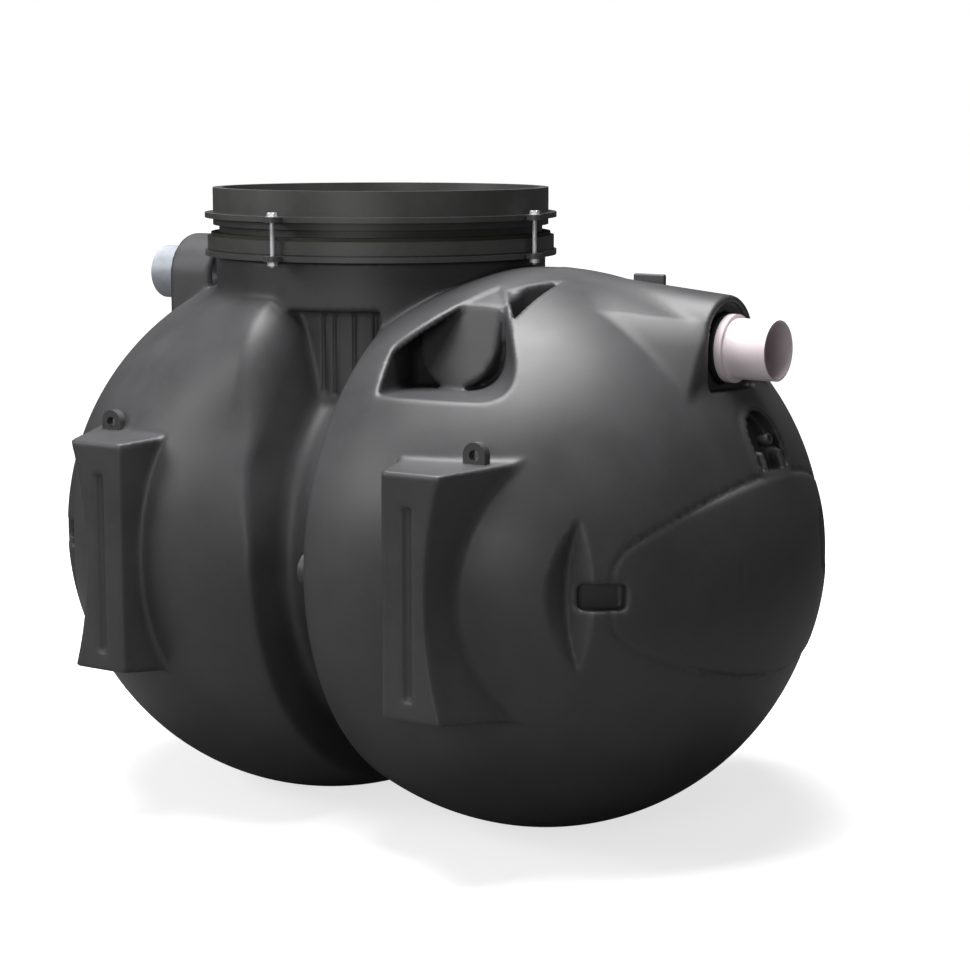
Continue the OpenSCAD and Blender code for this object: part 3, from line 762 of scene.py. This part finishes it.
def makeTieRods(s):
    work = bmesh.new()
    headLow = highBolt.z - s["headTall"]
    nutHigh = highNut.z
    shaftSolid(work, lowBolt.z, headLow + 0.002, s)
    steps = s["hexSteps"]
    hexSolid(work, headLow + s["washerThick"], highBolt.z, s["flats"], s["chamfer"], 0.0022, steps)
    hexSolid(work, lowNut.z, nutHigh - s["washerThick"], s["flats"], s["chamfer"], s["shaft"], steps)
    for low in (headLow, nutHigh - s["washerThick"]):
        hexSolid(work, low, low + s["washerThick"], s["washer"], 0.0003, s["shaft"], steps)
    bmesh.ops.recalc_face_normals(work, faces=work.faces)
    mesh = bpy.data.meshes.new("tieRods")
    work.to_mesh(mesh)
    work.free()
    piece = placePiece(mesh, "tieRods")
    tree = bpy.data.node_groups.new("rodsRoundCollar", "GeometryNodeTree")
    face = tree.interface
    face.new_socket("Geometry", in_out="INPUT", socket_type="NodeSocketGeometry")
    face.new_socket("Geometry", in_out="OUTPUT", socket_type="NodeSocketGeometry")
    values = {"Count": ("NodeSocketInt", s["count"]), "Ring Radius": ("NodeSocketFloat", s["ring"]),
              "First Angle": ("NodeSocketVector", (0.0, 0.0, s["firstAngle"])),
              "Centre": ("NodeSocketVector", (bodyShape["manwayX"], 0.0, 0.0)),
              "Material": ("NodeSocketMaterial", zincPlate)}
    sockets = {name: face.new_socket(name, in_out="INPUT", socket_type=kind)
               for name, (kind, _) in values.items()}
    given = addNode(tree, "NodeGroupInput")
    ring = addNode(tree, "GeometryNodeMeshCircle")
    move = addNode(tree, "GeometryNodeTransform")
    spread = addNode(tree, "GeometryNodeInstanceOnPoints")
    real = addNode(tree, "GeometryNodeRealizeInstances")
    paint = addNode(tree, "GeometryNodeSetMaterial")
    out = addNode(tree, "NodeGroupOutput")
    link = tree.links.new
    link(given.outputs["Count"], ring.inputs["Vertices"])
    link(given.outputs["Ring Radius"], ring.inputs["Radius"])
    link(ring.outputs["Mesh"], move.inputs["Geometry"])
    link(given.outputs["First Angle"], move.inputs["Rotation"])
    link(given.outputs["Centre"], move.inputs["Translation"])
    link(move.outputs["Geometry"], spread.inputs["Points"])
    link(given.outputs["Geometry"], spread.inputs["Instance"])
    link(spread.outputs["Instances"], real.inputs["Geometry"])
    link(real.outputs["Geometry"], paint.inputs["Geometry"])
    link(given.outputs["Material"], paint.inputs["Material"])
    link(paint.outputs["Geometry"], out.inputs["Geometry"])
    nodes = piece.modifiers.new("rodsRoundCollar", "NODES")
    nodes.node_group = tree
    for name, socket in sockets.items():
        nodes[socket.identifier] = values[name][1]
    bakeModifiers(piece)
    for polygon in piece.data.polygons:
        polygon.use_smooth = False
    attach(piece, "root")
    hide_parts("tie_rod_bolts", "tie_rod_nuts")


makeTieRods(tieRod)
report("small pieces")
for piece in (inletBody, outletBody):
    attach(piece, "root")
    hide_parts(*replaced[piece.name])

# finishes of the pieces that keep their own shape

nodeFinish = {
    "lower_flange": collarPlastic, "manway_collar": collarPlastic, "flange_gasket": gasketRubber,
    "inlet_pipe": greyPipe, "outlet_pipe": palePipe,
    "inlet_pipe_seal": sealRubber, "outlet_pipe_seal": sealRubber,
}
for name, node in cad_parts.items():
    if node.hide_render:
        continue
    node.data.materials.clear()
    node.data.materials.append(nodeFinish.get(name, tankPlastic))

studio = {"floorTone": 0.80, "bounceTone": 0.22, "floorGlow": 0.70, "glowFrom": 1.1, "glowTo": 2.3,
          "skyTone": 0.11, "topPower": 225.0, "leftPower": 80.0, "frontPower": 42.0}


def makeLight(name, place, aim, size, power):
    data = bpy.data.lights.new(name, "AREA")
    data.shape = "RECTANGLE"
    data.size, data.size_y = size
    data.energy = power
    lamp = bpy.data.objects.new(name, data)
    bpy.context.scene.collection.objects.link(lamp)
    lamp.location = place
    lamp.rotation_euler = (Vector(aim) - Vector(place)).to_track_quat("-Z", "Y").to_euler()


def makeStudio(s):
    mesh = bpy.data.meshes.new("studioFloor")
    mesh.from_pydata([(-30, -30, 0), (30, -30, 0), (30, 30, 0), (-30, 30, 0)], [], [(0, 1, 2, 3)])
    floor = bpy.data.objects.new("studioFloor", mesh)
    bpy.context.scene.collection.objects.link(floor)
    material = bpy.data.materials.new("studioFloor")
    material.use_nodes = True
    tree = material.node_tree
    shader = tree.nodes["Principled BSDF"]
    shader.inputs["Roughness"].default_value = 0.9
    shader.inputs["Specular IOR Level"].default_value = 0.1
    shader.inputs["Emission Color"].default_value = (1.0, 1.0, 1.0, 1.0)
    path = addNode(tree, "ShaderNodeLightPath")
    tone = addNode(tree, "ShaderNodeMapRange", {"To Min": s["bounceTone"], "To Max": s["floorTone"]})
    tree.links.new(path.outputs["Is Camera Ray"], tone.inputs["Value"])
    tree.links.new(tone.outputs["Result"], shader.inputs["Base Color"])
    # the floor glows white away from the tank, so that it runs into the background
    coords = addNode(tree, "ShaderNodeTexCoord")
    reach = addNode(tree, "ShaderNodeVectorMath", operation="LENGTH")
    ends = {"From Min": s["glowFrom"], "From Max": s["glowTo"], "To Min": s["floorGlow"], "To Max": 1.05}
    fade = addNode(tree, "ShaderNodeMapRange", ends, interpolation_type="SMOOTHSTEP")
    tree.links.new(coords.outputs["Object"], reach.inputs[0])
    tree.links.new(reach.outputs["Value"], fade.inputs["Value"])
    glow = addNode(tree, "ShaderNodeMath", operation="MULTIPLY")
    tree.links.new(path.outputs["Is Camera Ray"], glow.inputs[0])
    tree.links.new(fade.outputs["Result"], glow.inputs[1])
    tree.links.new(glow.outputs[0], shader.inputs["Emission Strength"])
    mesh.materials.append(material)
    world = bpy.data.worlds.new("studioWorld")
    bpy.context.scene.world = world
    world.use_nodes = True
    tree = world.node_tree
    back = tree.nodes["Background"]
    back.inputs["Color"].default_value = (1.0, 1.0, 1.0, 1.0)
    path = addNode(tree, "ShaderNodeLightPath")
    seen = addNode(tree, "ShaderNodeMath", operation="MAXIMUM")
    tree.links.new(path.outputs["Is Camera Ray"], seen.inputs[0])
    tree.links.new(path.outputs["Is Transmission Ray"], seen.inputs[1])
    strength = addNode(tree, "ShaderNodeMix", {"A": s["skyTone"], "B": 1.0}, data_type="FLOAT")
    tree.links.new(seen.outputs[0], strength.inputs["Factor"])
    tree.links.new(strength.outputs["Result"], back.inputs["Strength"])
    makeLight("topLight", (-0.2, -0.4, 3.6), (0.0, 0.0, 0.5), (2.6, 2.2), s["topPower"])
    makeLight("leftLight", (-3.6, -3.8, 2.8), (0.2, 0.0, 0.5), (2.2, 2.2), s["leftPower"])
    makeLight("frontLight", (1.4, -5.0, 1.6), (0.3, 0.0, 0.5), (2.4, 1.6), s["frontPower"])


makeStudio(studio)
bpy.context.scene.view_settings.view_transform = "Standard"
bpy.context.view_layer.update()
report("scene ready")
